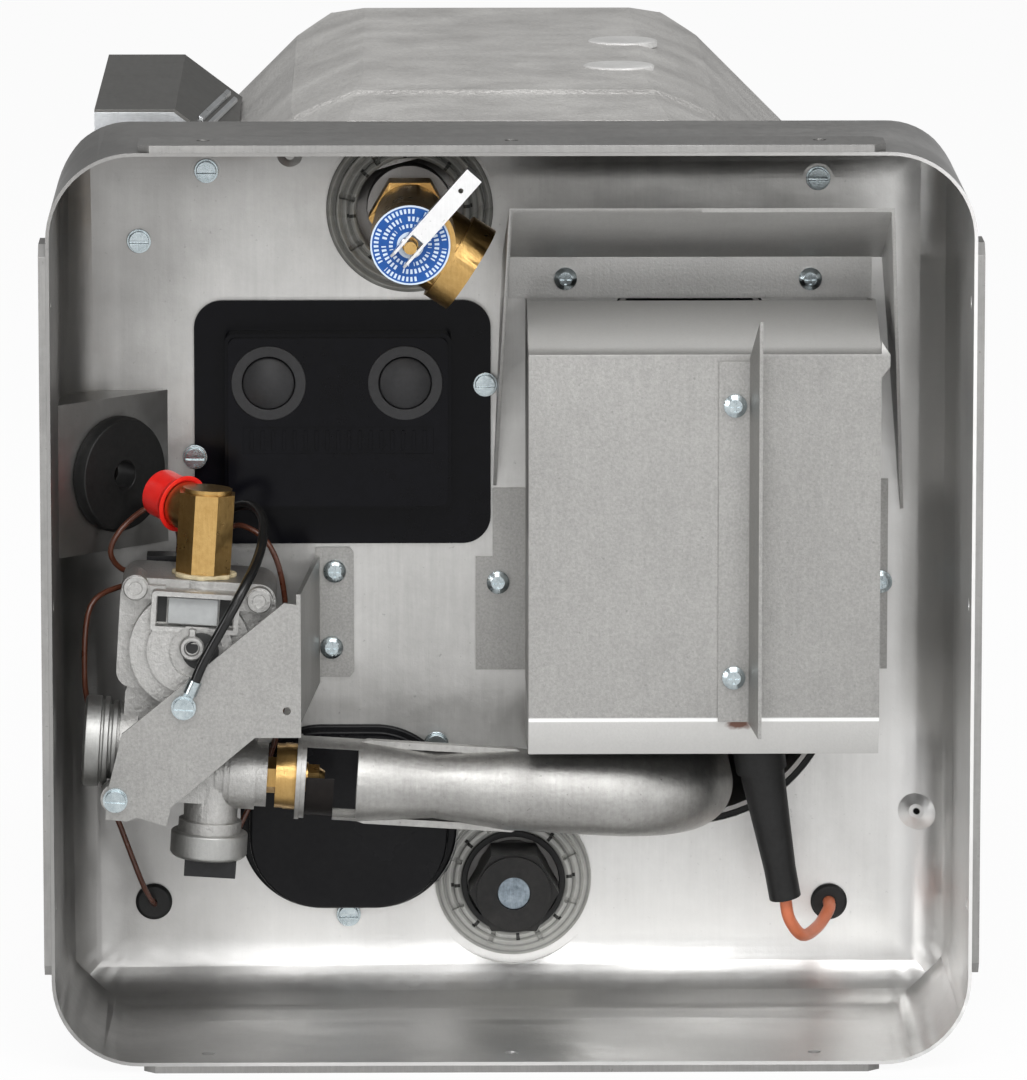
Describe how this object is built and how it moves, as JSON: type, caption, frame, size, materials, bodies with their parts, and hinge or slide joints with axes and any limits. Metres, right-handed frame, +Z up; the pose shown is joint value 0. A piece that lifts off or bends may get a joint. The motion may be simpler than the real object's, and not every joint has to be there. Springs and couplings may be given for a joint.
{
  "type": "caravan water heater",
  "caption": "Square steel pan with gas valve, burner, relief valve, covers and exhaust hood, on an octagonal insulated tank.",
  "frame": {"origin": "centre of the bounding box's bottom face", "axes": "+X to the right seen from the front, +Y from the front pan back to the tank, +Z up"},
  "size_m": [0.322, 0.487, 0.322],
  "materials": {
    "pan_steel": "satin",
    "rail_steel": "satin",
    "foam_jacket": "satin",
    "tank_steel": "satin",
    "zinc_steel": "satin",
    "dark_zinc": "satin",
    "galvanised": "satin",
    "zinc_screw": "polished",
    "brass": "satin",
    "cast_zinc": "cast",
    "black_plastic": "glossy",
    "black_rubber": "matte",
    "grey_rubber": "matte",
    "white_plastic": "matte",
    "blue_label": "satin",
    "red_cap": "satin",
    "sealant": "matte",
    "black_steel": "satin",
    "magnesium": "matte",
    "copper": "satin",
    "ceramic": "glossy",
    "black_wire": "glossy",
    "brown_wire": "glossy",
    "orange_wire": "satin",
    "dark_shutter": "satin"
  },
  "bodies": {
    "heater": {"front_pan": "pan_steel", "mounting_rails": "rail_steel", "jacket_upper": "foam_jacket", "jacket_lower": "foam_jacket", "tank_shell": "tank_steel", "flue_tube": "tank_steel", "front_bosses": "tank_steel", "hot_port": "tank_steel", "cold_port": "tank_steel", "anode_plug": "black_steel", "anode_rod": "magnesium", "drain_collar": "white_plastic", "drain_seal": "black_rubber", "relief_collar": "white_plastic", "relief_body": "brass", "relief_label": "blue_label", "control_cover": "black_plastic", "button_rings": "grey_rubber", "thermostat": "black_plastic", "high_limit": "black_plastic", "element_cover": "black_plastic", "heating_element": "rail_steel", "gas_valve": "cast_zinc", "valve_left_cap": "cast_zinc", "valve_bottom_cap": "cast_zinc", "valve_coils": "black_plastic", "connector_block": "black_plastic", "gas_elbow": "brass", "elbow_sealant": "sealant", "valve_bracket": "galvanised", "bracket_screws": "zinc_screw", "ring_terminal": "zinc_screw", "earth_lead": "black_wire", "valve_leads": "brown_wire", "orifice_holder": "brass", "burner_tube": "zinc_steel", "spark_electrode": "ceramic", "igniter_boot": "black_rubber", "igniter_lead": "orange_wire", "gas_grommet": "black_rubber", "wire_grommets": "black_rubber", "burner_gasket": "black_rubber", "exhaust_gasket": "black_rubber", "flue_hood": "galvanised", "flue_cover": "galvanised", "stiffener_angle": "galvanised", "flue_screws": "zinc_screw", "junction_box": "zinc_steel", "junction_cover": "dark_zinc", "junction_screws": "zinc_screw", "pan_screws": "zinc_screw", "cover_screws": "zinc_screw"},
    "relief_lever": {"relief_lever": "rail_steel"},
    "relief_stem": {"relief_stem": "brass", "relief_pin": "zinc_screw", "relief_probe": "copper"},
    "button_left": {"reset_button_left": "grey_rubber"},
    "button_right": {"reset_button_right": "grey_rubber"},
    "inlet_cap": {"gas_inlet_cap": "red_cap"},
    "shutter": {"air_shutter": "dark_shutter"}
  },
  "joints": [
    {"name": "relief_stem_slide", "type": "slide", "parent": "heater", "child": "relief_stem", "axis": [0, -1, 0], "range_m": [0, 0.003]},
    {"name": "relief_lever_hinge", "type": "hinge", "parent": "relief_stem", "child": "relief_lever", "pos_m": [-0.0345, -0.234, 0.286], "axis": [0.7501, 0, -0.6613], "range_deg": [0, 86], "stiffness_Nm_per_rad": 0.06},
    {"name": "reset_left_slide", "type": "slide", "parent": "heater", "child": "button_left", "axis": [0, 1, 0], "range_m": [0, 0.003], "stiffness_N_per_m": 600},
    {"name": "reset_right_slide", "type": "slide", "parent": "heater", "child": "button_right", "axis": [0, 1, 0], "range_m": [0, 0.003], "stiffness_N_per_m": 600},
    {"name": "inlet_cap_slide", "type": "slide", "parent": "heater", "child": "inlet_cap", "axis": [-0.6105, 0.7676, 0.1952], "range_m": [0, 0.011]},
    {"name": "air_shutter_hinge", "type": "hinge", "parent": "heater", "child": "shutter", "pos_m": [-0.06575, -0.1885, 0.09303], "axis": [0.998, 0, -0.0628], "range_deg": [0, 60]}
  ],
  "couplings": [
    {"joint": "relief_lever_hinge", "follows": "relief_stem_slide", "rad_per_m": 494.5}
  ]
}
